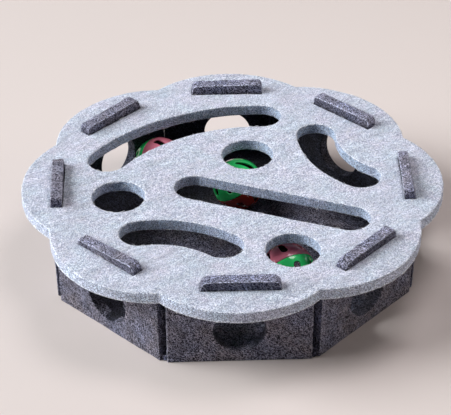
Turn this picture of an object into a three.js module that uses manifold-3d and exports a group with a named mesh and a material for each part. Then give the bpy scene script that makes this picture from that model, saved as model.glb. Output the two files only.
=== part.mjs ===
// Felt puzzle box for cats: a folded eight-sided felt tray, a scalloped felt lid that its tabs push up
// through, and three hollow two-coloured balls that roll on the tray's base under the lid's play holes.
// Millimetres, +Z up. The floor is z = 0, the tray's axis is the Z axis and the front flap faces -Y.
import * as THREE from 'three';
import { mergeVertices } from 'three/addons/utils/BufferGeometryUtils.js';
import Module from 'manifold-3d';

const wasm = await Module();
wasm.setup();

// Felt, and the fit between pieces that touch
const FELT = 10;
const FIT = 0.3;

// Tray: base, flaps and the tabs on top of the flaps
const SIDES = 8;
const FRONT_ANGLE = -90;
const FLAP_INNER = 137.5;
const FLAP_OUTER = FLAP_INNER + FELT;
const FLAP_WIDTH = 114;
const FLAP_LEAN = 2;
const FLAP_HOLE_RADIUS = 20.75;
const FLAP_HOLE_HEIGHT = 32;
const FOLD_OVERLAP = 1;
const CORNER_WEB_APOTHEM = 145;
const CORNER_WEB_HEIGHT = 5;
const TAB_WIDTH = 63;
const TAB_CORNER = 5;

// Lid: scalloped rim and play holes
const LID_UNDERSIDE = 62;
const LID_TOP = LID_UNDERSIDE + FELT;
const LEAN_SLOPE = FLAP_LEAN / LID_TOP;
const CUSP_RADIUS = 162.8;
const LOBE_RADIUS = 176.5;
const ROUND_HOLE_RADIUS = 22.2;
const SLOT_HALF_WIDTH = 16.9;

// Balls, and the round ends of their slots on a plane that touches a ball of radius 1 at the slot's middle
const BALL_RADIUS = 22.5;
const BALL_WALL = 1.6;
const BALL_SLOTS = 8;
const BALL_SLOT_LATITUDE = 39;
const BALL_SLOT_RIM_END = { along: -0.31, radius: 0.145 };
const BALL_SLOT_POLE_END = { along: 0.385, radius: 0.078 };

// Facets: divisions of a curve, each giving two chords to an arc, and the ball's slices and rings
const ARC_DIVISIONS = 6;
const BALL_SLOT_DIVISIONS = 2;
const BALL_SLICES = 32;
const BALL_RINGS = 8;

// Flaps in turn round the tray, with how far each end of the tab stands up out of the lid
const flaps = [
  { place: 'front', startRise: 7.3, endRise: 7.3 },
  { place: 'front right', startRise: 4.5, endRise: 6.7 },
  { place: 'right', startRise: 8.5, endRise: 7 },
  { place: 'back right', startRise: 6.8, endRise: 7.8 },
  { place: 'back', startRise: 9.3, endRise: 8 },
  { place: 'back left', startRise: 9, endRise: 6.5 },
  { place: 'left', startRise: 7, endRise: 8.5 },
  { place: 'front left', startRise: 3, endRise: 7 },
];

// Play holes in the lid, seen from above; bent slots give the centre of their bend and its two end angles
const roundHoles = [
  { place: 'left', x: -95.4, y: -17.9 },
  { place: 'back', x: 14.3, y: 41.8 },
  { place: 'front', x: 44.5, y: -97.8 },
];
const straightSlots = [
  { place: 'middle', fromX: -32.1, fromY: -6.3, toX: 93.8, toY: -56.1 },
];
const bentSlots = [
  { place: 'back', centreX: 22.4, centreY: -53.9, bend: 156.5, fromAngle: 87.4, toAngle: 144.6 },
  { place: 'right', centreX: 155.6, centreY: 69.4, bend: 80.4, fromAngle: 179.8, toAngle: 233.8 },
  { place: 'front', centreX: -63.1, centreY: -148, bend: 78.5, fromAngle: 48.4, toAngle: 100.5 },
];

// Balls: where each lies, which way the pole of its first half leans, and how its two rings of slots turn
const balls = [
  { place: 'front', x: 42.3, y: -73.4, turn: 113.7, lean: 68.7, halves: [['pink', 34.8], ['green', 43.8]] },
  { place: 'middle', x: 6.6, y: 53.3, turn: 170.7, lean: 33, halves: [['green', 43.6], ['red', 1.8]] },
  { place: 'back', x: -61.8, y: 90.3, turn: -38.9, lean: 62.9, halves: [['pink', 2.5], ['green', 6.1]] },
];

// Finishes
const feltFinish = { roughness: 0.95, metalness: 0 };
const plasticFinish = { roughness: 0.25, metalness: 0 };
const feltColours = { lid: '#cdd0de', tray: '#4d4a57' };
const plasticColours = { pink: '#a8435f', green: '#2a9e45', red: '#8f2412' };

const radians = THREE.MathUtils.degToRad;
const sideAngle = (side) => radians(FRONT_ANGLE + (360 / SIDES) * side);
const cuspAngle = (side) => radians(FRONT_ANGLE + (360 / SIDES) * (side - 0.5));
const polar = (radius, angle) => new THREE.Vector2(radius * Math.cos(angle), radius * Math.sin(angle));

// Booleans on closed three.js geometries
function toSolid(geometry) {
  const bare = geometry.clone();
  bare.deleteAttribute('normal');
  bare.deleteAttribute('uv');
  const merged = mergeVertices(bare, 1e-4);
  return new wasm.Manifold(new wasm.Mesh({
    numProp: 3,
    vertProperties: new Float32Array(merged.attributes.position.array),
    triVerts: new Uint32Array(merged.index.array),
  }));
}

function toGeometry(solid) {
  const mesh = solid.getMesh();
  const geometry = new THREE.BufferGeometry();
  geometry.setAttribute('position', new THREE.BufferAttribute(mesh.vertProperties, 3));
  geometry.setIndex(new THREE.BufferAttribute(mesh.triVerts, 1));
  geometry.computeVertexNormals();
  return geometry;
}

const union = (geometries) => toGeometry(geometries.map(toSolid).reduce((whole, solid) => whole.add(solid)));
const cut = (geometry, tools) => toGeometry(
  tools.map(toSolid).reduce((rest, tool) => rest.subtract(tool), toSolid(geometry)));

// A flat outline made into a sheet of the given thickness, with its underside at z = 0
function sheet(outline, thickness, divisions = ARC_DIVISIONS) {
  return new THREE.ExtrudeGeometry(outline, {
    depth: thickness,
    curveSegments: divisions,
    bevelEnabled: false,
  });
}

function named(name, geometry, colour, finish) {
  const mesh = new THREE.Mesh(geometry, new THREE.MeshStandardMaterial({ color: colour, ...finish }));
  mesh.name = name;
  return mesh;
}

// Eight-sided plate with flat sides towards the flaps
function octagonOutline(apothem) {
  const cornerRadius = apothem / Math.cos(Math.PI / SIDES);
  const corners = Array.from({ length: SIDES }, (_, side) => polar(cornerRadius, cuspAngle(side)));
  return new THREE.Shape(corners);
}

// One flap laid flat: x across it, y up it from the floor, with its tab on top and its round hole
function flapOutline({ startRise, endRise }) {
  const halfFlap = FLAP_WIDTH / 2;
  const halfTab = TAB_WIDTH / 2;
  const shoulder = LID_UNDERSIDE - FIT;
  const startTop = LID_TOP + startRise;
  const endTop = LID_TOP + endRise;
  const outline = new THREE.Shape();
  outline.moveTo(-halfFlap, 0);
  outline.lineTo(halfFlap, 0);
  outline.lineTo(halfFlap, shoulder);
  outline.lineTo(halfTab, shoulder);
  outline.lineTo(halfTab, endTop - TAB_CORNER);
  outline.quadraticCurveTo(halfTab, endTop, halfTab - TAB_CORNER, endTop);
  outline.lineTo(TAB_CORNER - halfTab, startTop);
  outline.quadraticCurveTo(-halfTab, startTop, -halfTab, startTop - TAB_CORNER);
  outline.lineTo(-halfTab, shoulder);
  outline.lineTo(-halfFlap, shoulder);
  outline.closePath();
  outline.holes.push(circlePath(0, FLAP_HOLE_HEIGHT, FLAP_HOLE_RADIUS));
  return outline;
}

// A flap folded up on one side of the base, leaning out a little
function standingFlap(flap, side) {
  const outward = new THREE.Vector3(Math.cos(sideAngle(side)), Math.sin(sideAngle(side)), 0);
  const up = new THREE.Vector3(0, 0, 1);
  const across = up.clone().cross(outward);
  const lean = new THREE.Matrix4().makeShear(0, 0, 0, LEAN_SLOPE, 0, 0);
  const stand = new THREE.Matrix4().makeBasis(across, up, outward);
  stand.setPosition(outward.clone().multiplyScalar(FLAP_INNER));
  return sheet(flapOutline(flap), FELT).applyMatrix4(lean).applyMatrix4(stand);
}

function makeTray() {
  const base = sheet(octagonOutline(FLAP_INNER + FOLD_OVERLAP), FELT);
  const cornerWebs = sheet(octagonOutline(CORNER_WEB_APOTHEM), CORNER_WEB_HEIGHT);
  return named('tray', union([base, cornerWebs, ...flaps.map(standingFlap)]), feltColours.tray, feltFinish);
}

// Outlines of the lid's holes
function circlePath(x, y, radius) {
  const path = new THREE.Path();
  path.absarc(x, y, radius, 0, Math.PI);
  path.absarc(x, y, radius, Math.PI, 2 * Math.PI);
  return path;
}

function straightSlotPath({ fromX, fromY, toX, toY }) {
  const along = Math.atan2(toY - fromY, toX - fromX);
  const path = new THREE.Path();
  path.absarc(toX, toY, SLOT_HALF_WIDTH, along - Math.PI / 2, along + Math.PI / 2);
  path.absarc(fromX, fromY, SLOT_HALF_WIDTH, along + Math.PI / 2, along + 1.5 * Math.PI);
  path.closePath();
  return path;
}

function bentSlotPath({ centreX, centreY, bend, fromAngle, toAngle }) {
  const centre = new THREE.Vector2(centreX, centreY);
  const start = radians(fromAngle);
  const end = radians(toAngle);
  const startCap = polar(bend, start).add(centre);
  const endCap = polar(bend, end).add(centre);
  const path = new THREE.Path();
  path.absarc(centre.x, centre.y, bend + SLOT_HALF_WIDTH, start, end);
  path.absarc(endCap.x, endCap.y, SLOT_HALF_WIDTH, end, end + Math.PI);
  path.absarc(centre.x, centre.y, bend - SLOT_HALF_WIDTH, end, start, true);
  path.absarc(startCap.x, startCap.y, SLOT_HALF_WIDTH, start + Math.PI, start + 2 * Math.PI);
  path.closePath();
  return path;
}

// The narrow slot that one tab pushes up through
function tabSlotPath(side) {
  const halfLength = TAB_WIDTH / 2 + FIT;
  const inner = FLAP_INNER + LEAN_SLOPE * LID_UNDERSIDE - FIT;
  const outer = FLAP_OUTER + LEAN_SLOPE * LID_TOP + FIT;
  const corners = [
    [inner, -halfLength],
    [outer, -halfLength],
    [outer, halfLength],
    [inner, halfLength],
  ];
  const axis = new THREE.Vector2();
  const turn = ([out, across]) => new THREE.Vector2(out, across).rotateAround(axis, sideAngle(side));
  return new THREE.Path(corners.map(turn));
}

// Scalloped rim: one arc on each side, from cusp to cusp through the lobe's highest point
function lidOutline() {
  const halfSide = Math.PI / SIDES;
  const cuspOut = CUSP_RADIUS * Math.cos(halfSide);
  const cuspAcross = CUSP_RADIUS * Math.sin(halfSide);
  const arcCentre = (LOBE_RADIUS ** 2 - CUSP_RADIUS ** 2) / (2 * (LOBE_RADIUS - cuspOut));
  const arcRadius = LOBE_RADIUS - arcCentre;
  const halfSweep = Math.atan2(cuspAcross, cuspOut - arcCentre);
  const outline = new THREE.Shape();
  for (let side = 0; side < SIDES; side += 1) {
    const centre = polar(arcCentre, sideAngle(side));
    const middle = sideAngle(side);
    outline.absarc(centre.x, centre.y, arcRadius, middle - halfSweep, middle + halfSweep);
  }
  return outline;
}

function makeLid() {
  const outline = lidOutline();
  outline.holes.push(...roundHoles.map(({ x, y }) => circlePath(x, y, ROUND_HOLE_RADIUS)));
  outline.holes.push(...straightSlots.map(straightSlotPath));
  outline.holes.push(...bentSlots.map(bentSlotPath));
  for (let side = 0; side < SIDES; side += 1) {
    outline.holes.push(tabSlotPath(side));
  }
  const lid = named('lid', sheet(outline, FELT), feltColours.lid, feltFinish);
  lid.position.z = LID_UNDERSIDE;
  return lid;
}

// A quarter circle from the axis down to half a fit above the seam
function quarterProfile(radius) {
  const rimLatitude = Math.asin(FIT / 2 / radius);
  const profile = [new THREE.Vector2(0, radius)];
  for (let ring = 1; ring <= BALL_RINGS; ring += 1) {
    const latitude = Math.PI / 2 + (rimLatitude - Math.PI / 2) * (ring / BALL_RINGS);
    profile.push(new THREE.Vector2(radius * Math.cos(latitude), radius * Math.sin(latitude)));
  }
  return profile;
}

// Half a ball with its pole on +Z and its rim just above the seam, before its slots are cut
function halfShell() {
  const outside = quarterProfile(BALL_RADIUS);
  const inside = quarterProfile(BALL_RADIUS - BALL_WALL);
  const profile = [...inside, ...outside.reverse()];
  return new THREE.LatheGeometry(profile, BALL_SLICES).rotateX(Math.PI / 2);
}

// A slot of a ball laid flat: two round ends, and straight sides that draw together towards the pole
function ballSlotOutline() {
  const rimEnd = BALL_SLOT_RIM_END;
  const poleEnd = BALL_SLOT_POLE_END;
  const taper = Math.asin((rimEnd.radius - poleEnd.radius) / (poleEnd.along - rimEnd.along));
  const outline = new THREE.Shape();
  outline.absarc(0, rimEnd.along, rimEnd.radius, Math.PI - taper, 2 * Math.PI + taper);
  outline.absarc(0, poleEnd.along, poleEnd.radius, taper, Math.PI - taper);
  outline.closePath();
  return outline;
}

// The cutter of one of the ring of slots, which widens outwards from the ball's centre
function slotCutter(index) {
  const cutter = sheet(ballSlotOutline(), 1, BALL_SLOT_DIVISIONS);
  const corners = cutter.attributes.position;
  for (let corner = 0; corner < corners.count; corner += 1) {
    const reach = BALL_RADIUS * (0.5 + corners.getZ(corner));
    corners.setXYZ(corner, reach * corners.getX(corner), reach * corners.getY(corner), reach);
  }
  const latitude = radians(BALL_SLOT_LATITUDE);
  const east = new THREE.Vector3(0, 1, 0);
  const outward = new THREE.Vector3(Math.cos(latitude), 0, Math.sin(latitude));
  const north = outward.clone().cross(east);
  cutter.applyMatrix4(new THREE.Matrix4().makeBasis(east, north, outward));
  return cutter.rotateZ((2 * Math.PI * index) / BALL_SLOTS);
}

function makeBall({ place, x, y, turn, lean, halves }) {
  const cutters = Array.from({ length: BALL_SLOTS }, (_, index) => slotCutter(index));
  const half = cut(halfShell(), cutters);
  const ball = new THREE.Group();
  ball.position.set(x, y, FELT + FIT + BALL_RADIUS);
  ball.rotation.set(0, radians(lean), radians(turn), 'ZYX');
  halves.forEach(([colour, spin], index) => {
    const shell = named(`ball_${place}_${colour}`, half.clone(), plasticColours[colour], plasticFinish);
    shell.rotation.set(index * Math.PI, 0, radians(spin));
    ball.add(shell);
  });
  return ball;
}

const box = new THREE.Group();
box.add(makeTray());
box.add(makeLid());
box.add(...balls.map(makeBall));

export default box;
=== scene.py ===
# Felt puzzle box for cats: a folded eight-sided felt tray, three hollow two-coloured balls loose on its base,
# and a scalloped felt lid that the tray's tabs push up through. Metres, +Z up, the front flap towards -Y.
import math

import bpy
import numpy as np
from mathutils import Matrix, Quaternion, Vector, noise
from mathutils.geometry import delaunay_2d_cdt
from mathutils.kdtree import KDTree


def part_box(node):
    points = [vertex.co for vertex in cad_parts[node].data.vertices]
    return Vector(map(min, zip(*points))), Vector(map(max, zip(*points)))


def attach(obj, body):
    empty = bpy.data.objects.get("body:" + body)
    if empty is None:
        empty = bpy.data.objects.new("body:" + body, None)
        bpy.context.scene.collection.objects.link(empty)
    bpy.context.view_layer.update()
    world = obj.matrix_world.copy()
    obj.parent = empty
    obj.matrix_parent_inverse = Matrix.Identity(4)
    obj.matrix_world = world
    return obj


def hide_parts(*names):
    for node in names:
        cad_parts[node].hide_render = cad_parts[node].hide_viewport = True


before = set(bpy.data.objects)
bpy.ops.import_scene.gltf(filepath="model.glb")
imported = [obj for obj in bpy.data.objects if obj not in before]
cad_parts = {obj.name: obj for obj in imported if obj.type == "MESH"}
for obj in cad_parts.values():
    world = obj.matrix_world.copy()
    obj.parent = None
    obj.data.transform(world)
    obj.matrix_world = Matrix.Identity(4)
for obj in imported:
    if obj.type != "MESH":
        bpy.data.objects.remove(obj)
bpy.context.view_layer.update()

# Tray. One piece of charcoal needle felt, die-cut as an eight-sided base with a flap on each side.
# The flaps are folded up and lean out a little. Each has a round paw hole, and on its top edge a tab
# that goes up through the lid.
lid_low, lid_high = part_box("lid")
FELT = lid_high.z - lid_low.z
SIDES = 8
SIDE_TURN = 2 * math.pi / SIDES
FRONT = math.radians(-90)
FLAP_INNER = 0.1375
FLAP_WIDTH = 0.1150
FLAP_LEAN = 0.002
PAW_HOLE_RADIUS = 0.02075
PAW_HOLE_HEIGHT = 0.032
SHOULDER_GAP = 0.0003
TAB_WIDTH = 0.063
TAB_TIP = 0.008
TAB_DRAW = 0.014
BASE_APOTHEM = 0.145
CORNER_PRESS = (0.1475, 0.1505)
CORNER_SHARE = 0.5

# How each flap stands, from the front one round to the right: how far it bows out, how far its tab is
# shifted along, how far the slot squeezes the tab, how pale its tab's top is painted, partly by wear and
# partly as painted light, how high the tab's two ends rise over the lid, how far their corners are rounded,
# and how far out the ends are drawn in the slot and at their tips
FLAPS = [
    {"place": "front", "bow": 0.0004, "shift": 0.0006, "squeeze": 0.0, "paled_top": 1.0,
     "rise": (0.0083, 0.0085), "round": (0.0084, 0.0080),
     "slot": (0.0, 0.0), "tip": (0.0, 0.0003)},
    {"place": "front right", "bow": -0.0003, "shift": 0.0, "squeeze": 0.0, "paled_top": 1.0,
     "rise": (0.0060, 0.0075), "round": (0.0075, 0.0045),
     "slot": (0.0, 0.0), "tip": (0.0, 0.0)},
    {"place": "right", "bow": 0.0005, "shift": 0.0, "squeeze": 0.0014, "paled_top": 1.0,
     "rise": (0.0088, 0.0070), "round": (0.0022, 0.0040),
     "slot": (0.0022, 0.0030), "tip": (0.0, 0.0016)},
    {"place": "back right", "bow": -0.0004, "shift": 0.0, "squeeze": 0.0, "paled_top": 0.9,
     "rise": (0.0080, 0.0078), "round": (0.0060, 0.0045),
     "slot": (0.0, 0.0), "tip": (0.0004, 0.0)},
    {"place": "back", "bow": 0.0003, "shift": 0.0, "squeeze": 0.0, "paled_top": 0.9,
     "rise": (0.0093, 0.0080), "round": (0.0045, 0.0060),
     "slot": (0.0, 0.0), "tip": (0.0003, 0.0006)},
    {"place": "back left", "bow": 0.0005, "shift": 0.0014, "squeeze": 0.0, "paled_top": 0.8,
     "rise": (0.0090, 0.0065), "round": (0.0080, 0.0045),
     "slot": (0.0, 0.0006), "tip": (0.0012, 0.0020)},
    {"place": "left", "bow": -0.0003, "shift": 0.0, "squeeze": 0.0004, "paled_top": 0.15,
     "rise": (0.0070, 0.0088), "round": (0.0040, 0.0022),
     "slot": (0.0022, 0.0022), "tip": (0.0026, 0.0014)},
    {"place": "front left", "bow": 0.0004, "shift": 0.0, "squeeze": 0.0, "paled_top": 0.8,
     "rise": (0.0042, 0.0080), "round": (0.0020, 0.0080),
     "slot": (-0.0012, -0.0012), "tip": (-0.0010, -0.0012)},
]

# How the felt is cut: the step along a cut, the spacing of points on a face and on the base, how far they
# stray from their rows and stay clear of the cut in shares of that spacing, the soft lip of a cut, and its
# steps
CUT_STEP = 0.0016
FACE_STEP = 0.0028
BASE_STEP = 1.4 * FACE_STEP
FACE_STRAY = 0.22
FACE_CLEAR = 0.6
FELT_LIP = 0.0009
LIP_STEPS = 3
WALL_STEPS = 4


def cut_line(start, end, step=CUT_STEP):
    """Points on a straight cut, without its end."""
    start, end = np.array(start, float), np.array(end, float)
    count = max(1, round(np.linalg.norm(end - start) / step))
    return start + np.linspace(0, 1, count, endpoint=False)[:, None] * (end - start)


def cut_arc(centre, radius, start, end, step=CUT_STEP):
    """Points on a round cut between two angles, without its end."""
    count = max(3, round(abs(end - start) * radius / step))
    angles = np.linspace(start, end, count, endpoint=False)
    return np.array(centre) + radius * np.stack([np.cos(angles), np.sin(angles)], axis=1)


def cut_corners(corners, step=CUT_STEP):
    """A closed cut from corner to corner, each (x, y, how far from the corner its rounding starts)."""
    places = [np.array(corner[:2], float) for corner in corners]
    path = []
    for here, corner in enumerate(corners):
        before, place, after = places[here - 1], places[here], places[(here + 1) % len(places)]
        to_before = (before - place) / np.linalg.norm(before - place)
        to_after = (after - place) / np.linalg.norm(after - place)
        rounding, next_rounding = corner[2], corners[(here + 1) % len(corners)][2]
        leave = place + rounding * to_after
        if rounding:
            curve_length = 1.6 * rounding
            t = np.linspace(0, 1, max(3, round(curve_length / step)), endpoint=False)[:, None]
            arrive = place + rounding * to_before
            path.append((1 - t) ** 2 * arrive + 2 * t * (1 - t) * place + t**2 * leave)
        path.append(cut_line(leave, after - next_rounding * to_after, step))
    return np.concatenate(path)


def signed_area(loop):
    """The area inside a closed cut, below zero for one that runs clockwise."""
    x, y = loop.T
    return 0.5 * (x * np.roll(y, -1) - y * np.roll(x, -1)).sum()


def turned(loop, counter_clockwise):
    """The loop in the direction that keeps the sheet on its left."""
    return loop if (signed_area(loop) > 0) == counter_clockwise else loop[::-1]


def into_sheet(loop):
    """At each point of a loop, the step into the sheet that keeps a lip of width 1."""
    before = loop - np.roll(loop, 1, axis=0)
    after = np.roll(loop, -1, axis=0) - loop
    ways = (before, after)
    left = [np.stack([-way[:, 1], way[:, 0]], axis=1) / np.linalg.norm(way, axis=1)[:, None] for way in ways]
    middle = left[0] + left[1]
    middle /= np.linalg.norm(middle, axis=1)[:, None]
    squareness = (middle * left[0]).sum(axis=1)
    return middle / np.maximum(0.5, squareness)[:, None]


def on_sheet(points, loops):
    """True for each point that lies on the sheet, inside the outer loop and in none of its holes."""
    odd = np.zeros(len(points), bool)
    x, y = points[:, :1], points[:, 1:]
    for loop in loops:
        (ax, ay), (bx, by) = loop.T, np.roll(loop, -1, axis=0).T
        spans = (ay > y) != (by > y)
        rise = np.where(by == ay, 1, by - ay)
        odd ^= ((spans & (x < ax + (y - ay) / rise * (bx - ax))).sum(axis=1) % 2).astype(bool)
    return odd


def cut_sheet(loops, thickness, lips, face_step, seed):
    """A flat sheet cut along loops, the outer one first, each with the sizes of its upper and lower lip.
    Gives its points as (x, y, height above its underside), its faces, and how far each point is from the
    faces (0) into the cut edge (1)."""
    loops = [turned(loop, number == 0) for number, loop in enumerate(loops)]
    inward = [into_sheet(loop) for loop in loops]
    face_loops = [np.float64(np.float32(loop + lip[0] * way)) for loop, lip, way in zip(loops, lips, inward)]
    rim = np.concatenate(face_loops)
    under_rim = np.concatenate([loop + lip[1] * way for loop, lip, way in zip(loops, lips, inward)])
    low, high = rim.min(axis=0), rim.max(axis=0)
    rows = np.arange(low[1], high[1], face_step * math.sqrt(3) / 2)
    columns = np.arange(low[0], high[0], face_step)
    grid = np.array([(x + (k % 2) * face_step / 2, y) for k, y in enumerate(rows) for x in columns])
    grid += np.random.default_rng(seed).uniform(-FACE_STRAY, FACE_STRAY, grid.shape) * face_step
    grid = grid[on_sheet(grid, face_loops)]
    tree = KDTree(len(rim))
    for number, point in enumerate(rim):
        tree.insert((*point, 0), number)
    tree.balance()
    clear = [tree.find((*point, 0))[2] > FACE_CLEAR * face_step for point in grid]
    face = np.concatenate([rim, grid[clear]])
    starts = np.cumsum([0] + [len(loop) for loop in loops])
    edges = [(a + k, a + (k + 1) % (b - a)) for a, b in zip(starts[:-1], starts[1:]) for k in range(b - a)]
    triangles = np.array(delaunay_2d_cdt([Vector(point) for point in face], edges, [], 0, 1e-9)[2])
    triangles = triangles[on_sheet(face[triangles].mean(axis=1), face_loops)]

    bends = np.linspace(0, math.pi / 2, LIP_STEPS + 1)
    upright = [0] + [math.sin(bend) for bend in bends[1:]] + [1] * (WALL_STEPS - 1)
    upright += [math.sin(bend) for bend in bends[:0:-1]] + [0]

    def rounded(size):
        return [(size * (1 - math.sin(bend)), size * (1 - math.cos(bend))) for bend in bends]

    def edge_profile(upper_lip, lower_lip):
        upper = [(inset, thickness - drop) for inset, drop in rounded(upper_lip)]
        wall = [(0, height) for height in np.linspace(thickness - upper_lip, lower_lip, WALL_STEPS + 1)[1:-1]]
        return upper + wall + rounded(lower_lip)[::-1]

    count = len(face)
    under = np.concatenate([under_rim, face[len(rim):]])
    points = [np.column_stack([face, np.full(count, thickness)]), np.column_stack([under, np.zeros(count)])]
    depth = [np.zeros(2 * count)]
    faces = triangles.tolist() + (triangles[:, ::-1] + count).tolist()
    used = 2 * count
    for loop, lip, way, start in zip(loops, lips, inward, starts):
        numbers = start + np.arange(len(loop))
        rings = [numbers]
        for (inset, height), lean in list(zip(edge_profile(*lip), upright))[1:-1]:
            rings.append(used + np.arange(len(loop)))
            points.append(np.column_stack([loop + inset * way, np.full(len(loop), height)]))
            depth.append(np.full(len(loop), lean))
            used += len(loop)
        rings.append(numbers + count)
        for above, below in zip(rings, rings[1:]):
            quads = np.stack([above, below, np.roll(below, -1), np.roll(above, -1)], axis=1)
            faces += quads.tolist()
    return np.concatenate(points), faces, np.concatenate(depth)


# The slow waves in the felt, each with its size and its depth, and where their noise starts on every run
FELT_WAVES = [(0.055, 0.00035), (0.013, 0.00016), (0.005, 0.00008)]
WAVE_SEED = 11
noise.seed_set(WAVE_SEED)


def uneven(points, waves):
    """The points moved about by smooth noise, for each wave as far as its depth over its size."""
    moved = points.copy()
    for size, depth in waves:
        moved += depth * np.array([noise.noise_vector(Vector(point) / size) for point in points])
    return moved


def mark(mesh, name, values):
    """Give each point of a mesh a value, which its material or its fibres find by name."""
    if name not in mesh.attributes:
        mesh.attributes.new(name, "FLOAT", "POINT")
    mesh.attributes[name].data.foreach_set("value", np.float32(values))


def on_lip(cut_edge):
    """How much of each point is on the lip of a cut, from how far it is into the cut edge."""
    return 4 * cut_edge * (1 - cut_edge)


def piece(name, points, faces, cut_edge):
    """A new smooth object, its points marked with how far they are into a cut edge and on its lip."""
    mesh = bpy.data.meshes.new(name)
    mesh.from_pydata(points.tolist(), [], faces)
    mark(mesh, "cut_edge", cut_edge)
    mark(mesh, "lip", on_lip(cut_edge))
    mesh.shade_smooth()
    made = bpy.data.objects.new(name, mesh)
    bpy.context.scene.collection.objects.link(made)
    return made


def flap_cut(flap):
    """The cut of one flap, x across it and y up it from the fold, and its paw hole."""
    half_flap, half_tab, shift = FLAP_WIDTH / 2, TAB_WIDTH / 2, flap["shift"]
    shoulder = lid_low.z - SHOULDER_GAP
    corners = [
        (-half_flap, 0, 0),
        (half_flap, 0, 0),
        (half_flap, shoulder, 0),
        (half_tab + shift, shoulder, 0),
        (half_tab + shift, lid_high.z + flap["rise"][1], flap["round"][1]),
        (-half_tab + shift, lid_high.z + flap["rise"][0], flap["round"][0]),
        (-half_tab + shift, shoulder, 0),
        (-half_flap, shoulder, 0),
    ]
    return [cut_corners(corners), cut_arc((0, PAW_HOLE_HEIGHT), PAW_HOLE_RADIUS, 0, 2 * math.pi)]


def eased(share):
    """A share from 0 to 1 that starts and ends gently."""
    share = np.clip(share, 0, 1)
    return share**2 * (3 - 2 * share)


def stand_up(points, flap, angle):
    """A flap's flat points folded up on its side of the base. It leans out and bows, and its tab is drawn to
    where its slot holds it."""
    outward = np.array([math.cos(angle), math.sin(angle), 0])
    up = np.array([0, 0, 1.0])
    across = np.cross(up, outward)
    x, y, depth = points.T
    lean = FLAP_LEAN * y / lid_high.z
    bowed = flap["bow"] * np.cos(math.pi * x / FLAP_WIDTH) * np.sin(math.pi * np.clip(y / lid_low.z, 0, 1))
    along = np.clip(x / TAB_WIDTH + 0.5, 0, 1)
    slot, tip = (flap[end][0] + (flap[end][1] - flap[end][0]) * along for end in ("slot", "tip"))
    shoulder = eased((FLAP_WIDTH / 2 - np.abs(x)) / (FLAP_WIDTH / 2 - TAB_WIDTH / 2))
    held = shoulder * eased((y - lid_low.z) / TAB_DRAW + 1)
    drawn = (slot - flap["squeeze"] * depth / FELT) * held
    drawn += (tip - slot) * np.clip((y - lid_high.z) / TAB_TIP, 0, 1)
    out = FLAP_INNER + depth + lean + bowed + drawn
    return out[:, None] * outward + x[:, None] * across + y[:, None] * up


flap_lips = [(FELT_LIP, FELT_LIP)] * 2
flap_parts = []
for side, flap in enumerate(FLAPS):
    points, faces, cut_edge = cut_sheet(flap_cut(flap), FELT, flap_lips, FACE_STEP, seed=side)
    flap_parts.append((stand_up(points, flap, FRONT + side * SIDE_TURN), faces, cut_edge))
starts = np.cumsum([0] + [len(points) for points, faces, cut_edge in flap_parts])
flap_points = np.concatenate([points for points, faces, cut_edge in flap_parts])
flap_faces = [[start + k for k in face] for start, part in zip(starts, flap_parts) for face in part[1]]
flap_edges = np.concatenate([cut_edge for points, faces, cut_edge in flap_parts])
flaps = piece("tray_flaps", uneven(flap_points, FELT_WAVES), flap_faces, flap_edges)

base_corner = BASE_APOTHEM / math.cos(math.pi / SIDES)
base_angles = [FRONT + (side - 0.5) * SIDE_TURN for side in range(SIDES)]
base_cut = cut_corners([(base_corner * math.cos(a), base_corner * math.sin(a), 0) for a in base_angles])
base_lips = [(FELT_LIP, FELT_LIP)]
base_points, base_faces, base_edge = cut_sheet([base_cut], FELT, base_lips, BASE_STEP, seed=SIDES)
reach = np.linalg.norm(base_points[:, :2], axis=1)
press_start, press_end = CORNER_PRESS
base_points[:, 2] *= 1 - CORNER_SHARE * eased((reach - press_start) / (press_end - press_start))
tray = piece("tray_felt", uneven(base_points, FELT_WAVES), base_faces, base_edge)

join = tray.modifiers.new("folded_flaps", "BOOLEAN")
join.operation = "UNION"
join.solver = "MANIFOLD"
join.object = flaps
joined = bpy.data.meshes.new_from_object(tray.evaluated_get(bpy.context.evaluated_depsgraph_get()))
tray.modifiers.clear()
tray.data = joined
bpy.data.objects.remove(flaps)
coordinates = np.zeros(len(joined.vertices) * 3)
joined.vertices.foreach_get("co", coordinates)
coordinates[2::3] = np.maximum(coordinates[2::3], 0)
joined.vertices.foreach_set("co", coordinates)
joined.shade_smooth()
joined.set_sharp_from_angle(angle=math.radians(50))


def put(tree, kind, values=None, **settings):
    """A new node with these settings; its inputs, by name or number, get values or are joined to outputs."""
    made = tree.nodes.new(kind)
    for key, value in settings.items():
        setattr(made, key, value)
    for key, value in (values or {}).items():
        if isinstance(value, bpy.types.NodeSocket):
            tree.links.new(value, made.inputs[key])
        else:
            made.inputs[key].default_value = value
    return made


def reckon(tree, operation, first, second=0.0):
    """A value worked out from two others by nodes."""
    return put(tree, "ShaderNodeMath", {0: first, 1: second}, operation=operation).outputs[0]


def blend(tree, share, first, second, how="MIX"):
    """A colour blended from two others by nodes."""
    values = {0: share, 6: first, 7: second}
    return put(tree, "ShaderNodeMix", values, data_type="RGBA", blend_type=how).outputs[2]


def marked(tree, name):
    """The value that a mesh's points are marked with under this name."""
    return put(tree, "ShaderNodeAttribute", attribute_name=name).outputs["Fac"]


def bare_material(name):
    """A new material with no nodes yet."""
    material = bpy.data.materials.new(name)
    material.use_nodes = True
    material.node_tree.nodes.clear()
    return material


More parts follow.
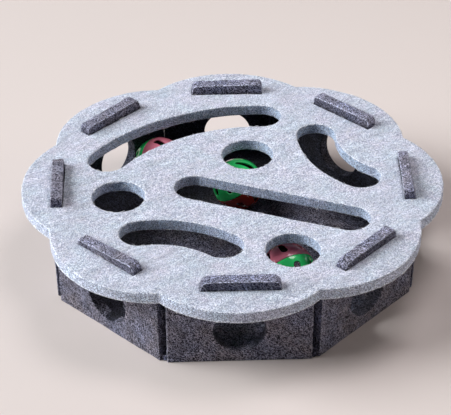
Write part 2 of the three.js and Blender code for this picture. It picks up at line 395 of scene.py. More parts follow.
def felt_fibres():
    """Shader group for needle felt: clumps, and strands that lie two ways, pale where they stand up and dark
    in the gaps between them, on a ground that is mottled, and warmer or cooler in places."""
    group = bpy.data.node_groups.new("felt_fibres", "ShaderNodeTree")
    sockets = [
        ("Ground", "NodeSocketColor", (0.5, 0.5, 0.5, 1)),
        ("Pale fibre", "NodeSocketColor", (0.9, 0.9, 0.9, 1)),
        ("Dark gap", "NodeSocketColor", (0.1, 0.1, 0.1, 1)),
        ("Clump size", "NodeSocketFloat", 0.001),
        ("Fibre width", "NodeSocketFloat", 0.0005),
        ("Fibre run", "NodeSocketFloat", 5.0),
        ("Fibre lie", "NodeSocketVector", (0, 0, 0)),
        ("Cross lie", "NodeSocketVector", (0, 0, 0)),
        ("Pale share", "NodeSocketFloat", 0.5),
        ("Dark share", "NodeSocketFloat", 0.5),
        ("Fibre share", "NodeSocketFloat", 0.6),
        ("Mottle", "NodeSocketFloat", 0.1),
        ("Warm tint", "NodeSocketColor", (1, 1, 1, 1)),
        ("Cool tint", "NodeSocketColor", (1, 1, 1, 1)),
    ]
    for name, kind, value in sockets:
        group.interface.new_socket(name, in_out="INPUT", socket_type=kind).default_value = value
    group.interface.new_socket("Colour", in_out="OUTPUT", socket_type="NodeSocketColor")
    group.interface.new_socket("Height", in_out="OUTPUT", socket_type="NodeSocketFloat")
    given = group.nodes.new("NodeGroupInput").outputs
    place = group.nodes.new("ShaderNodeTexCoord").outputs["Object"]

    def grain(scale, detail, vector):
        values = {"Vector": vector, "Scale": scale, "Detail": detail, "Roughness": 0.6}
        return put(group, "ShaderNodeTexNoise", values).outputs[0]

    def along(lie):
        run = put(group, "ShaderNodeCombineXYZ", {0: given["Fibre run"], 1: 1.0, 2: 1.0}).outputs[0]
        return put(group, "ShaderNodeMapping", {0: place, 2: lie, 3: run}, vector_type="TEXTURE").outputs[0]

    def share_of(value, start, end):
        return put(group, "ShaderNodeMapRange", {0: value, 1: start, 2: end}, clamp=True).outputs[0]

    per_fibre = reckon(group, "DIVIDE", 1.0, given["Fibre width"])
    lying = grain(per_fibre, 1.0, along(given["Fibre lie"]))
    crossing_finer = 1.15
    crossing = grain(reckon(group, "MULTIPLY", per_fibre, crossing_finer), 1.0, along(given["Cross lie"]))
    strands = reckon(group, "MAXIMUM", lying, crossing)
    clumps = grain(reckon(group, "DIVIDE", 1.0, given["Clump size"]), 1.0, place)
    tangle = reckon(group, "ADD", reckon(group, "MULTIPLY", strands, given["Fibre share"]), clumps)
    usual_strand, usual_clump = 0.555, 0.5
    middle = reckon(group, "ADD", reckon(group, "MULTIPLY", given["Fibre share"], usual_strand), usual_clump)
    raised = reckon(group, "SUBTRACT", tangle, middle)
    mottles_a_metre, tints_a_metre = 150.0, 42.0
    mottle = grain(mottles_a_metre, 3.0, along(given["Fibre lie"]))
    moved_on = put(group, "ShaderNodeVectorMath", {0: place, 1: (3, 5, 7)}).outputs[0]
    tinting = share_of(grain(tints_a_metre, 3.0, moved_on), 0.35, 0.65)

    pale = share_of(raised, 0.01, 0.07)
    dark = share_of(raised, 0.0, -0.06)
    darkened = reckon(group, "MULTIPLY", dark, given["Dark share"])
    colour = blend(group, darkened, given["Ground"], given["Dark gap"])
    colour = blend(group, reckon(group, "MULTIPLY", pale, given["Pale share"]), colour, given["Pale fibre"])
    tint = blend(group, tinting, given["Warm tint"], given["Cool tint"])
    tinted = blend(group, 1.0, colour, tint, "MULTIPLY")
    full_swing = reckon(group, "MULTIPLY", given["Mottle"], 4.0)
    swing = reckon(group, "MULTIPLY", reckon(group, "SUBTRACT", mottle, 0.5), full_swing)
    tone = reckon(group, "ADD", swing, 1.0)
    toned = put(group, "ShaderNodeHueSaturation", {"Value": tone, "Color": tinted}).outputs[0]
    put(group, "NodeGroupOutput", {"Colour": toned, "Height": raised})
    return group


FELT_FIBRES = felt_fibres()
# The tint of the painted shade inside the tray, and how strongly cut edges open up in dark gaps
PAINTED_SHADE_TINT = (0.13, 0.135, 0.165, 1)
OPEN_GAP_SHARE = 0.6


def felt_material(name, fibres, edge_tint, lip_share, paled_tint, relief):
    """Needle felt: its fibres, cut edges that are tinted and open up in dark gaps, pale lips of frayed fibres
    and painted highlight, pale places partly of wear and partly painted light, painted shade inside, and a
    low fibrous relief."""
    material = bare_material(name)
    tree = material.node_tree
    group = put(tree, "ShaderNodeGroup", node_tree=FELT_FIBRES)
    for key, value in fibres.items():
        group.inputs[key].default_value = value
    tufts = put(tree, "ShaderNodeMapRange", {0: group.outputs["Height"], 1: -0.12, 2: 0.12}).outputs[0]
    gaps = put(tree, "ShaderNodeMapRange", {0: group.outputs["Height"], 1: 0.02, 2: -0.05}).outputs[0]
    open_gaps = reckon(tree, "MULTIPLY", marked(tree, "speckled"), gaps)
    open_gaps = reckon(tree, "MULTIPLY", open_gaps, OPEN_GAP_SHARE)
    colour = blend(tree, open_gaps, group.outputs["Colour"], fibres["Dark gap"])
    # Tinted cut edges; on the tray the low ones are partly painted shade in the notches between the flaps
    colour = blend(tree, marked(tree, "cut_edge"), colour, edge_tint, "MULTIPLY")
    # Pale lips, of frayed fibres and a painted highlight along the cut's rounded lip
    frayed_and_highlit = reckon(tree, "MULTIPLY", marked(tree, "lip"), tufts)
    frayed_and_highlit = reckon(tree, "MULTIPLY", frayed_and_highlit, lip_share)
    colour = blend(tree, frayed_and_highlit, colour, fibres["Pale fibre"])
    # Paler tab tops, partly wear and partly painted light where they face up, and a paler lid rim
    colour = blend(tree, marked(tree, "paled"), colour, paled_tint, "MULTIPLY")
    # Painted shade on the tray's inside and on the walls of its paw holes
    colour = blend(tree, marked(tree, "painted_shade"), colour, PAINTED_SHADE_TINT, "MULTIPLY")
    bumps = {"Height": group.outputs["Height"], "Strength": 1.0, "Distance": relief}
    normal = put(tree, "ShaderNodeBump", bumps).outputs[0]
    shader = put(tree, "ShaderNodeBsdfPrincipled", {"Base Color": colour, "Normal": normal})
    shader.inputs["Roughness"].default_value = 0.95
    shader.inputs["Specular IOR Level"].default_value = 0.15
    shader.inputs["Sheen Weight"].default_value = 0.05
    shader.inputs["Sheen Roughness"].default_value = 0.6
    put(tree, "ShaderNodeOutputMaterial", {"Surface": shader.outputs[0]})
    return material


def loose_fibres():
    """Geometry Nodes tree that lays short bent fibres on a felt piece, as closely as it is marked "loose"."""
    tree = bpy.data.node_groups.new("loose_fibres", "GeometryNodeTree")
    tree.is_modifier = True
    sockets = [
        ("Felt", "NodeSocketGeometry", None),
        ("Fibres a square metre", "NodeSocketFloat", 70000.0),
        ("Length", "NodeSocketFloat", 0.004),
        ("Thickness", "NodeSocketFloat", 0.0002),
        ("Bend", "NodeSocketFloat", 0.25),
        ("Rise", "NodeSocketFloat", 0.15),
        ("Lie", "NodeSocketVector", (1, 0, 0)),
        ("Spread", "NodeSocketFloat", math.pi),
        ("Seed", "NodeSocketInt", 1),
        ("Material", "NodeSocketMaterial", None),
    ]
    for name, kind, value in sockets:
        socket = tree.interface.new_socket(name, in_out="INPUT", socket_type=kind)
        if value is not None:
            socket.default_value = value
    tree.interface.new_socket("Fibres", in_out="OUTPUT", socket_type="NodeSocketGeometry")
    given = tree.nodes.new("NodeGroupInput").outputs

    def scaled(vector, scale):
        values = {0: vector, "Scale": scale}
        return put(tree, "ShaderNodeVectorMath", values, operation="SCALE").outputs[0]

    def vector_of(x, y, z):
        return put(tree, "ShaderNodeCombineXYZ", {0: x, 1: y, 2: z}).outputs[0]

    loose = put(tree, "GeometryNodeInputNamedAttribute", {"Name": "loose"}, data_type="FLOAT").outputs[0]
    closeness = reckon(tree, "MULTIPLY", given["Fibres a square metre"], loose)
    spots = {"Mesh": given["Felt"], "Density": closeness, "Seed": given["Seed"]}
    spread_out = put(tree, "GeometryNodeDistributePointsOnFaces", spots)
    tone = put(tree, "FunctionNodeRandomValue", {"Seed": given["Seed"]}, data_type="FLOAT").outputs[1]
    toned = {"Geometry": spread_out.outputs["Points"], "Name": "fibre_tone", "Value": tone}
    points = put(tree, "GeometryNodeStoreNamedAttribute", toned, data_type="FLOAT", domain="POINT").outputs[0]

    off_middle = 0.12
    middle = scaled(vector_of(off_middle, given["Bend"], given["Rise"]), given["Length"])
    ends = [scaled(vector_of(side, 0.0, 0.0), given["Length"]) for side in (-0.5, 0.5)]
    path = {"Resolution": 3, "Start": ends[0], "Middle": middle, "End": ends[1]}
    bent = put(tree, "GeometryNodeCurveQuadraticBezier", path).outputs[0]
    half = reckon(tree, "MULTIPLY", given["Thickness"], 0.5)
    section = put(tree, "GeometryNodeCurvePrimitiveCircle", {"Resolution": 3, "Radius": half}).outputs[0]
    swept = {"Curve": bent, "Profile Curve": section, "Fill Caps": True}
    fibre = put(tree, "GeometryNodeCurveToMesh", swept).outputs[0]

    flat_on = {"Rotation": spread_out.outputs["Rotation"], "Vector": given["Lie"]}
    laid = put(tree, "FunctionNodeAlignRotationToVector", flat_on, axis="X", pivot_axis="Z").outputs[0]
    back = reckon(tree, "MULTIPLY", given["Spread"], -1.0)
    tilt = 0.1
    turns = {
        0: vector_of(-tilt, -tilt, back),
        1: vector_of(tilt, tilt, given["Spread"]),
        "Seed": given["Seed"],
    }
    turn = put(tree, "FunctionNodeRandomValue", turns, data_type="FLOAT_VECTOR").outputs[0]
    turned_by = put(tree, "FunctionNodeEulerToRotation", {0: turn}).outputs[0]
    strewn = {"Rotation": laid, "Rotate By": turned_by}
    rotation = put(tree, "FunctionNodeRotateRotation", strewn, rotation_space="LOCAL").outputs[0]
    smallest, largest = 0.5, 1.4
    sizes = {2: smallest, 3: largest, "Seed": given["Seed"]}
    size = put(tree, "FunctionNodeRandomValue", sizes, data_type="FLOAT").outputs[1]
    laid_on = {"Points": points, "Instance": fibre, "Rotation": rotation, "Scale": size}
    copies = put(tree, "GeometryNodeInstanceOnPoints", laid_on).outputs[0]
    real = put(tree, "GeometryNodeRealizeInstances", {"Geometry": copies}).outputs[0]
    finished = {"Geometry": real, "Material": given["Material"]}
    put(tree, "NodeGroupOutput", {0: put(tree, "GeometryNodeSetMaterial", finished).outputs[0]})
    return tree


LOOSE_FIBRES = loose_fibres()


def fibre_material(name, dark, pale):
    """Matt fibre of one tone along its length, somewhere between two colours."""
    material = bare_material(name)
    tree = material.node_tree
    colour = blend(tree, marked(tree, "fibre_tone"), dark, pale)
    shader = put(tree, "ShaderNodeBsdfPrincipled", {"Base Color": colour, "Roughness": 0.8})
    shader.inputs["Specular IOR Level"].default_value = 0.2
    put(tree, "ShaderNodeOutputMaterial", {"Surface": shader.outputs[0]})
    return material


def fibres_on(felt, name, loose, sizes):
    """A new piece of loose fibres on a felt piece, laid as closely as loose says for each of its points."""
    holder = bpy.data.objects.new(name, felt.data.copy())
    bpy.context.scene.collection.objects.link(holder)
    mark(holder.data, "loose", loose)
    laying = holder.modifiers.new("loose_fibres", "NODES")
    laying.node_group = LOOSE_FIBRES
    for socket in LOOSE_FIBRES.interface.items_tree:
        if socket.in_out == "INPUT" and socket.name in sizes:
            laying[socket.identifier] = sizes[socket.name]
    made = bpy.data.meshes.new_from_object(holder.evaluated_get(bpy.context.evaluated_depsgraph_get()))
    holder.modifiers.clear()
    holder.data = made
    made.shade_smooth()
    return holder


def read_points(mesh):
    """The points of a mesh, the way each faces, and how far each is into a cut edge."""
    count = len(mesh.vertices)
    points, ways, cut_edge = np.zeros(3 * count), np.zeros(3 * count), np.zeros(count)
    mesh.vertices.foreach_get("co", points)
    mesh.vertex_normals.foreach_get("vector", ways)
    mesh.attributes["cut_edge"].data.foreach_get("value", cut_edge)
    return points.reshape(-1, 3), ways.reshape(-1, 3), cut_edge


charcoal = {
    "Ground": (0.061, 0.060, 0.089, 1),
    "Pale fibre": (0.74, 0.74, 0.89, 1),
    "Dark gap": (0.008, 0.008, 0.016, 1),
    "Clump size": 0.0008,
    "Fibre width": 0.0007,
    "Fibre run": 6.0,
    "Fibre lie": (0, math.radians(50), math.radians(-18)),
    "Cross lie": (0, math.radians(-20), math.radians(30)),
    "Pale share": 0.62,
    "Dark share": 0.92,
    "Fibre share": 1.2,
    "Mottle": 0.46,
    "Warm tint": (1.03, 0.94, 0.90, 1),
    "Cool tint": (0.93, 0.96, 1.09, 1),
}
tray.data.materials.clear()
tray.data.materials.append(felt_material(
    "charcoal_felt",
    charcoal,
    edge_tint=(0.45, 0.48, 0.58, 1),
    lip_share=1.6,
    paled_tint=(1.52, 1.59, 1.66, 1),
    relief=0.0014,
))

# Where the tray's felt looks different, its painted shade and highlight among it: over what distance this
# fades, and how strongly it shows
TAB_FADE = 0.003
TAB_FACE_SHARE = 0.5
HOLE_FADE_START = 0.001
HOLE_FADE = 0.002
HOLE_PAINTED_SHADE = 0.8
BASE_PAINTED_SHADE = 0.25
BASE_LEFT_FADE = (0.05, 0.04)
BASE_BACK_FADE = (0.03, 0.05)
LOW_LIP_LOSS = 0.45
HOLE_LIP_LOSS = 0.4
LOWEST_FIBRE = 0.006
TOP_FIBRES = 1.5
tray_points, tray_ways, tray_cut = read_points(tray.data)
tray_x, tray_y, tray_z = tray_points.T
outward = tray_points[:, :2] / np.linalg.norm(tray_points[:, :2], axis=1)[:, None]
facing_out = (tray_ways[:, :2] * outward).sum(axis=1)
facing_up = tray_ways[:, 2]

# The tops of the tabs are painted pale where they face up, partly as wear and partly as painted light,
# each as pale as it is seen to be
over_lid = eased((tray_z - lid_high.z) / TAB_FADE)
tab_top = tray_cut * over_lid * np.clip(2 * facing_up, 0, 1)
turns = (np.arctan2(tray_y, tray_x) - FRONT) * SIDES / (2 * math.pi)
flap_numbers = np.round(turns).astype(int) % SIDES
mark(tray.data, "paled", np.array([flap["paled_top"] for flap in FLAPS])[flap_numbers] * tab_top)

# Painted shade: the room inside is painted dark, and its base darkest to the left and the back. So are the
# walls of the paw holes, but for the low ones facing the window's light, which stay pale except on the right,
# in the box's own shade
flap_angles = FRONT + flap_numbers * SIDE_TURN
across_flap = tray_y * np.cos(flap_angles) - tray_x * np.sin(flap_angles)
from_hole = np.hypot(across_flap, tray_z - PAW_HOLE_HEIGHT)
hole_wall = 1 - eased((from_hole - PAW_HOLE_RADIUS - HOLE_FADE_START) / HOLE_FADE)
low_wall = eased((facing_up - 0.7) / 0.3) * eased((0.6 - outward[:, 0]) / 0.4)
inner_side = np.where(facing_out < -0.3, 1.0, 0.0)
base_top = (np.abs(tray_z - FELT) < 0.002) * (facing_up > 0.5)
to_left = eased((-tray_x - BASE_LEFT_FADE[0]) / BASE_LEFT_FADE[1])
to_back = eased((tray_y - BASE_BACK_FADE[0]) / BASE_BACK_FADE[1])
base_painted_shade = base_top * (BASE_PAINTED_SHADE + (1 - BASE_PAINTED_SHADE) * np.maximum(to_left, to_back))
painted_shade = np.maximum(inner_side, base_painted_shade) * (1 - over_lid)
painted_shade = np.maximum(painted_shade, HOLE_PAINTED_SHADE * tray_cut * hole_wall * (1 - low_wall))
mark(tray.data, "painted_shade", painted_shade)

# Cut edges are darkened low down, partly as denser cut felt and partly as painted shade in the notches
# between the flaps, and the tabs' faces half as dark; their pale lips, of frayed fibres and painted
# highlight, show most on the tabs
tab_face = TAB_FACE_SHARE * over_lid * (1 - tab_top)
mark(tray.data, "cut_edge", tray_cut * (1 - hole_wall) * (1 - over_lid) + tab_face)
# The painted highlight on the lips fades low down and in the paw holes, where shade falls
mark(tray.data, "lip", on_lip(tray_cut) * (1 - LOW_LIP_LOSS * (1 - over_lid) - HOLE_LIP_LOSS * hole_wall))
tray_loose = np.where(tray_z > LOWEST_FIBRE, np.clip(facing_out, 0, 1) + TOP_FIBRES * tab_top, 0)
tray_fibres = fibres_on(tray, "tray_fibres", tray_loose, {
    "Fibres a square metre": 80000.0,
    "Length": 0.0042,
    "Thickness": 0.00024,
    "Lie": (0.75, 0.0, -0.66),
    "Spread": math.radians(50),
    "Seed": 4,
    "Material": fibre_material("charcoal_fibre", (0.03, 0.03, 0.05, 1), (0.54, 0.54, 0.67, 1)),
})
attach(tray_fibres, "box")
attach(tray, "box")
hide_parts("tray")

# Balls. Each is two glossy moulded half shells of different colours, pressed together at a seam.
# Every half has a ring of eight slots that narrow towards its pole; the balls lie loose on the tray's base.
BALL_RADIUS = 0.0225
BALL_WALL = 0.0016
BALL_SLOTS = 8
BALL_SLOT_LATITUDE = math.radians(39)
BALL_SLOT_RIM_END = {"along": -0.31, "radius": 0.145}
BALL_SLOT_POLE_END = {"along": 0.385, "radius": 0.078}
SEAM_GAP = 0.00015
SHELL_LIP = 0.0004
SHELL_STEP = 0.0011
# The colour of the painted shade on the shells' inner surface
INSIDE_SHADE = (0.10, 0.10, 0.10, 1)
BALLS = [
    {"place": "front", "turn": 113.7, "lean": 68.7, "halves": [("pink", 34.8), ("green", 43.8)]},
    {"place": "middle", "turn": 170.7, "lean": 33.0, "halves": [("green", 43.6), ("red", 1.8)]},
    {"place": "back", "turn": -38.9, "lean": 62.9, "halves": [("pink", 2.5), ("green", 6.1)]},
]
PLASTICS = {
    "pink": ((0.86, 0.26, 0.35, 1), (0.77, 0.19, 0.28, 1)),
    "green": ((0.05, 0.92, 0.24, 1), (0.03, 0.80, 0.18, 1)),
    "red": ((0.36, 0.020, 0.006, 1), (0.28, 0.014, 0.004, 1)),
}


def slot_outline(step):
    """A ball's slot on a plane that touches a ball of radius 1 at the slot's middle, y towards the pole."""
    rim, pole = BALL_SLOT_RIM_END, BALL_SLOT_POLE_END
    taper = math.asin((rim["radius"] - pole["radius"]) / (pole["along"] - rim["along"]))
    rim_arc = cut_arc((0, rim["along"]), rim["radius"], math.pi - taper, 2 * math.pi + taper, step)
    pole_arc = cut_arc((0, pole["along"]), pole["radius"], taper, math.pi - taper, step)
    right = np.array([math.cos(taper), math.sin(taper)])
    rim_right, pole_right = (np.array([0, end["along"]]) + end["radius"] * right for end in (rim, pole))
    mirror = np.array([-1, 1])
    sides = [cut_line(rim_right, pole_right, step), cut_line(pole_right * mirror, rim_right * mirror, step)]
    return np.concatenate([rim_arc, sides[0], pole_arc, sides[1]])


def shell_cut():
    """The cuts of a half shell laid flat round its pole: its seam, and its ring of slots."""
    seam = BALL_RADIUS * (math.pi / 2 - math.asin(SEAM_GAP / BALL_RADIUS))
    loops = [cut_arc((0, 0), seam, 0, 2 * math.pi, SHELL_STEP)]
    east, north = slot_outline(0.7 * SHELL_STEP / BALL_RADIUS).T
    out_x, out_z = math.cos(BALL_SLOT_LATITUDE), math.sin(BALL_SLOT_LATITUDE)
    x, y, z = out_x - out_z * north, east, out_z + out_x * north
    from_pole = BALL_RADIUS * np.arctan2(np.hypot(x, y), z)
    bearing = np.arctan2(y, x)
    for number in range(BALL_SLOTS):
        turn = bearing + number * 2 * math.pi / BALL_SLOTS
        loops.append(from_pole[:, None] * np.stack([np.cos(turn), np.sin(turn)], axis=1))
    return loops


def domed(points):
    """A half shell's flat points wrapped over a sphere, with the pole up."""
    x, y, depth = points.T
    along = np.maximum(np.hypot(x, y), 1e-9)
    angle = along / BALL_RADIUS
    radius = BALL_RADIUS - BALL_WALL + depth
    out = radius * np.sin(angle)
    return np.stack([out * x / along, out * y / along, radius * np.cos(angle)], axis=1)


def plastic_material(name, colour, deep_colour):
    """Glossy moulded plastic, a little deeper in colour in places, with faint ripples and handling marks,
    and painted shade inside the shell."""
    material = bare_material(name)
    tree = material.node_tree
    place = put(tree, "ShaderNodeTexCoord").outputs["Object"]
    cloud = put(tree, "ShaderNodeTexNoise", {"Vector": place, "Scale": 90.0, "Detail": 3.0}).outputs[0]
    scuff = put(tree, "ShaderNodeTexNoise", {"Vector": place, "Scale": 700.0, "Detail": 4.0}).outputs[0]
    clouded = blend(tree, cloud, colour, deep_colour)
    # Painted shade inside the shell
    shaded = blend(tree, marked(tree, "inside"), clouded, INSIDE_SHADE, "MULTIPLY")
    gloss = put(tree, "ShaderNodeMapRange", {0: scuff, 1: 0.35, 2: 0.75, 3: 0.07, 4: 0.20}).outputs[0]
    bump = put(tree, "ShaderNodeBump", {"Height": cloud, "Strength": 0.25, "Distance": 0.0004}).outputs[0]
    shader = put(tree, "ShaderNodeBsdfPrincipled", {"Base Color": shaded, "Roughness": gloss, "Normal": bump})
    shader.inputs["Coat Weight"].default_value = 0.6
    shader.inputs["Coat Roughness"].default_value = 0.05
    put(tree, "ShaderNodeOutputMaterial", {"Surface": shader.outputs[0]})
    return material


plastics = {name: plastic_material(f"{name}_plastic", *colours) for name, colours in PLASTICS.items()}
shell_lips = [(SHELL_LIP, SHELL_LIP)] * (BALL_SLOTS + 1)
shell_points, shell_faces, shell_edge = cut_sheet(shell_cut(), BALL_WALL, shell_lips, SHELL_STEP, seed=20)
half_shell = domed(shell_points)
inner_third = BALL_WALL / 3
# Painted shade on each shell's inner surface, fading out through the inner third of its wall
shell_inside = np.clip(1 - shell_points[:, 2] / inner_third, 0, 1)
for ball in BALLS:
    nodes = [f"ball_{ball['place']}_{colour}" for colour, spin in ball["halves"]]
    boxes = [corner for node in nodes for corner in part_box(node)]
    centre = [(min(corner[k] for corner in boxes) + max(corner[k] for corner in boxes)) / 2 for k in range(3)]
    turn, tip = math.radians(ball["turn"]), math.radians(ball["lean"])
    lean = Matrix.Rotation(turn, 4, "Z") @ Matrix.Rotation(tip, 4, "Y")
    for number, (colour, spin) in enumerate(ball["halves"]):
        flip = Matrix.Rotation(number * math.pi, 4, "X") @ Matrix.Rotation(math.radians(spin), 4, "Z")
        set_down = np.array(Matrix.Translation(centre) @ lean @ flip)
        placed = half_shell @ set_down[:3, :3].T + set_down[:3, 3]
        half = piece(f"shell_{ball['place']}_{colour}", placed, shell_faces, shell_edge)
        mark(half.data, "inside", shell_inside)
        half.data.set_sharp_from_angle(angle=math.radians(60))
        half.data.materials.append(plastics[colour])
        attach(half, f"{ball['place']}_ball")
        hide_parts(nodes[number])

# Lid. One piece of light blue-grey needle felt with a scalloped rim, die-cut with seven play holes.
# Eight narrow slots let the tray's tabs through, which hold it down on the flaps.
CUSP_RADIUS = 0.1628
LOBE_RADIUS = lid_high.x
PLAY_HOLE_RADIUS = 0.0222
PLAY_SLOT_HALF = 0.0169
TAB_SLOT_GAP = 0.0003
TAB_SLOT_LIP = 0.0003
LID_UNDER_LIP = 0.0003
LID_SAG = 0.0006
LOBE_DROOP = 0.0006
RIM_START = 0.156
RIM_FADE = 0.004
ROUND_HOLES = [
    {"place": "left", "x": -0.0954, "y": -0.0179},
    {"place": "back", "x": 0.0143, "y": 0.0418},
    {"place": "front", "x": 0.0445, "y": -0.0978},
]
STRAIGHT_SLOTS = [{"place": "middle", "start": (-0.0321, -0.0063), "end": (0.0938, -0.0561)}]
BENT_SLOTS = [
    {"place": "back", "centre": (0.0224, -0.0539), "bend": 0.1565, "start": 87.4, "end": 144.6},
    {"place": "right", "centre": (0.1556, 0.0694), "bend": 0.0804, "start": 179.8, "end": 233.8},
    {"place": "front", "centre": (-0.0631, -0.1480), "bend": 0.0785, "start": 48.4, "end": 100.5},
]


def scallops():
    """The lid's rim: an arc over each side, from cusp to cusp through the top of the lobe."""
    half_side = math.pi / SIDES
    cusp_out, cusp_across = CUSP_RADIUS * math.cos(half_side), CUSP_RADIUS * math.sin(half_side)
    centre_out = (LOBE_RADIUS**2 - CUSP_RADIUS**2) / (2 * (LOBE_RADIUS - cusp_out))
    sweep = math.atan2(cusp_across, cusp_out - centre_out)
    arcs = []
    for side in range(SIDES):
        middle = FRONT + side * SIDE_TURN
        centre = (centre_out * math.cos(middle), centre_out * math.sin(middle))
        arcs.append(cut_arc(centre, LOBE_RADIUS - centre_out, middle - sweep, middle + sweep))
    return np.concatenate(arcs)


def straight_slot(start, end):
    """A straight play slot with round ends."""
    along = math.atan2(end[1] - start[1], end[0] - start[0])
    quarter = math.pi / 2
    across = PLAY_SLOT_HALF * np.array([math.cos(along + quarter), math.sin(along + quarter)])
    return np.concatenate([
        cut_arc(end, PLAY_SLOT_HALF, along - quarter, along + quarter),
        cut_line(end + across, start + across),
        cut_arc(start, PLAY_SLOT_HALF, along + quarter, along + 3 * quarter),
        cut_line(start - across, end - across),
    ])


def bent_slot(centre, bend, start, end):
    """A play slot bent round a centre, with round ends."""
    start, end = math.radians(start), math.radians(end)
    ends = [np.array(centre) + bend * np.array([math.cos(angle), math.sin(angle)]) for angle in (start, end)]
    return np.concatenate([
        cut_arc(centre, bend + PLAY_SLOT_HALF, start, end),
        cut_arc(ends[1], PLAY_SLOT_HALF, end, end + math.pi),
        cut_arc(centre, bend - PLAY_SLOT_HALF, end, start),
        cut_arc(ends[0], PLAY_SLOT_HALF, start + math.pi, start + 2 * math.pi),
    ])


def tab_slot(side):
    """The narrow slot that one tab goes through."""
    angle = FRONT + side * SIDE_TURN
    outward = np.array([math.cos(angle), math.sin(angle)])
    across = np.array([-math.sin(angle), math.cos(angle)])
    half = TAB_WIDTH / 2 + TAB_SLOT_GAP
    inner = FLAP_INNER + FLAP_LEAN * lid_low.z / lid_high.z - TAB_SLOT_GAP
    outer = FLAP_INNER + FELT + FLAP_LEAN + TAB_SLOT_GAP - FLAPS[side]["squeeze"]
    start, end = FLAPS[side]["slot"]
    ends = [(inner + start, -half), (outer + start, -half), (outer + end, half), (inner + end, half)]
    corners = [out * outward + (x + FLAPS[side]["shift"]) * across for out, x in ends]
    return cut_corners([(*corner, 0) for corner in corners])


lid_loops = [scallops()]
lid_loops += [cut_arc((hole["x"], hole["y"]), PLAY_HOLE_RADIUS, 0, 2 * math.pi) for hole in ROUND_HOLES]
lid_loops += [straight_slot(np.array(slot["start"]), np.array(slot["end"])) for slot in STRAIGHT_SLOTS]
lid_loops += [bent_slot(slot["centre"], slot["bend"], slot["start"], slot["end"]) for slot in BENT_SLOTS]
lid_loops += [tab_slot(side) for side in range(SIDES)]
lid_lips = [(FELT_LIP, LID_UNDER_LIP)] + [(FELT_LIP, FELT_LIP)] * (len(lid_loops) - SIDES - 1)
lid_lips += [(TAB_SLOT_LIP, TAB_SLOT_LIP)] * SIDES
lid_points, lid_faces, lid_edge = cut_sheet(lid_loops, FELT, lid_lips, FACE_STEP, seed=30)
lid_heights = lid_points[:, 2].copy()
reach = np.linalg.norm(lid_points[:, :2], axis=1)
sag = LID_SAG * np.clip(1 - (reach / FLAP_INNER) ** 2, 0, 1)
droop = LOBE_DROOP * np.clip((reach - FLAP_INNER - FELT) / (LOBE_RADIUS - FLAP_INNER - FELT), 0, 1) ** 2
lid_points[:, 2] += lid_low.z - sag - droop
lid = piece("lid_felt", uneven(lid_points, FELT_WAVES), lid_faces, lid_edge)
lid.data.set_sharp_from_angle(angle=math.radians(50))
heather = {
    "Ground": (0.59, 0.64, 0.785, 1),
    "Pale fibre": (0.95, 0.96, 1.0, 1),
    "Dark gap": (0.14, 0.15, 0.20, 1),
    "Clump size": 0.0008,
    "Fibre width": 0.0007,
    "Fibre run": 6.0,
    "Fibre lie": (0, math.radians(10), math.radians(35)),
    "Cross lie": (0, math.radians(-15), math.radians(110)),
    "Pale share": 0.7,
    "Dark share": 0.56,
    "Fibre share": 1.2,
    "Mottle": 0.2,
    "Warm tint": (1.0, 0.955, 0.985, 1),
    "Cool tint": (0.94, 0.995, 1.0, 1),
}
lid.data.materials.append(felt_material(
    "heather_felt",
    heather,
    edge_tint=(0.82, 0.91, 1.02, 1),
    lip_share=1.4,
    paled_tint=(1.05, 1.10, 1.16, 1),
    relief=0.0006,
))

# The walls of the holes are tinted, the rim is a little paler, and the rim's lower edge is painted pale,
# as frayed fibres and a painted highlight
lid_places, lid_ways, lid_cut = read_points(lid.data)
rim_share = eased((np.linalg.norm(lid_places[:, :2], axis=1) - RIM_START) / RIM_FADE)
frayed_and_highlit_under = rim_share * (lid_cut > 0.5) * (lid_heights < 1.5 * LID_UNDER_LIP)
mark(lid.data, "cut_edge", lid_cut * (1 - rim_share))
mark(lid.data, "speckled", lid_cut)
mark(lid.data, "paled", lid_cut * rim_share)
mark(lid.data, "lip", np.maximum(on_lip(lid_cut), frayed_and_highlit_under))
lid_fibres = fibres_on(lid, "lid_fibres", np.clip(lid_ways[:, 2], 0, 1) + lid_cut, {
    "Fibres a square metre": 86000.0,
    "Length": 0.0038,
    "Thickness": 0.0002,
    "Spread": math.pi,
    "Seed": 5,
    "Material": fibre_material("heather_fibre", (0.30, 0.33, 0.42, 1), (0.97, 0.97, 1.0, 1)),
})
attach(lid_fibres, "box")
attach(lid, "box")
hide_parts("lid")

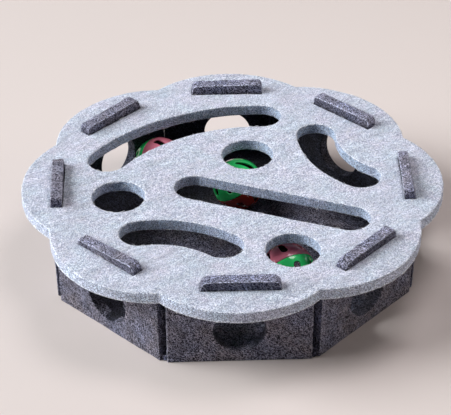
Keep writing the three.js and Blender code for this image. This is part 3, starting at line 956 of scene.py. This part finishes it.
# Floor and light. A plain pale floor, a large soft light like a window on the left, a small soft one
# overhead, a weak warm one from the right like the bounce in a room, and an even pale surround.
FLOOR_HALF = 6.0
FLOOR_COLOUR = (0.70, 0.62, 0.585, 1)
floor_corners = [(FLOOR_HALF * x, FLOOR_HALF * y, 0) for x, y in ((-1, -1), (1, -1), (1, 1), (-1, 1))]
floor_mesh = bpy.data.meshes.new("floor")
floor_mesh.from_pydata(floor_corners, [], [(0, 1, 2, 3)])
floor = bpy.data.objects.new("floor", floor_mesh)
bpy.context.scene.collection.objects.link(floor)
floor_material = bpy.data.materials.new("pale_floor")
floor_material.use_nodes = True
floor_shader = floor_material.node_tree.nodes["Principled BSDF"]
floor_shader.inputs["Base Color"].default_value = FLOOR_COLOUR
floor_shader.inputs["Roughness"].default_value = 0.8
floor_mesh.materials.append(floor_material)

LIGHTS = [
    {"name": "window", "place": (-3.9, 0.1, 2.5), "size": 3.4, "watts": 350.0, "colour": (0.95, 0.98, 1.0)},
    {"name": "overhead", "place": (0.25, 0.1, 1.0), "size": 0.5, "watts": 3.2, "colour": (1.0, 0.96, 0.99)},
    {"name": "bounce", "place": (2.0, 0.1, 0.9), "size": 1.5, "watts": 10.5, "colour": (1.0, 0.92, 0.85)},
]
for light in LIGHTS:
    lamp = bpy.data.lights.new(light["name"], "AREA")
    lamp.shape = "DISK"
    lamp.size = light["size"]
    lamp.energy = light["watts"]
    lamp.color = light["colour"]
    holder = bpy.data.objects.new(light["name"], lamp)
    holder.location = light["place"]
    holder.rotation_euler = (-Vector(light["place"])).to_track_quat("-Z", "Y").to_euler()
    bpy.context.scene.collection.objects.link(holder)
world = bpy.data.worlds.new("surround")
world.use_nodes = True
surround = world.node_tree.nodes["Background"].inputs
surround["Color"].default_value = (0.93, 0.95, 1.0, 1)
surround["Strength"].default_value = 0.055
bpy.context.scene.world = world
bpy.context.scene.view_settings.view_transform = "Standard"

# Camera, at the photograph's viewing angle.
CAMERA_PLACE = Vector((-0.04465, -1.25174, 0.92594))
CAMERA_AIM = Vector((-0.00578, 0.01346, 0.036))
CAMERA_ROLL = math.radians(-0.31)
CAMERA_LENS = 144.4
camera_data = bpy.data.cameras.new("camera")
camera_data.sensor_width = 36
camera_data.lens = CAMERA_LENS
camera = bpy.data.objects.new("camera", camera_data)
camera.location = CAMERA_PLACE
level = (CAMERA_AIM - CAMERA_PLACE).to_track_quat("-Z", "Y")
camera.rotation_mode = "QUATERNION"
camera.rotation_quaternion = level @ Quaternion((0, 0, 1), CAMERA_ROLL)
bpy.context.scene.collection.objects.link(camera)
bpy.context.scene.camera = camera
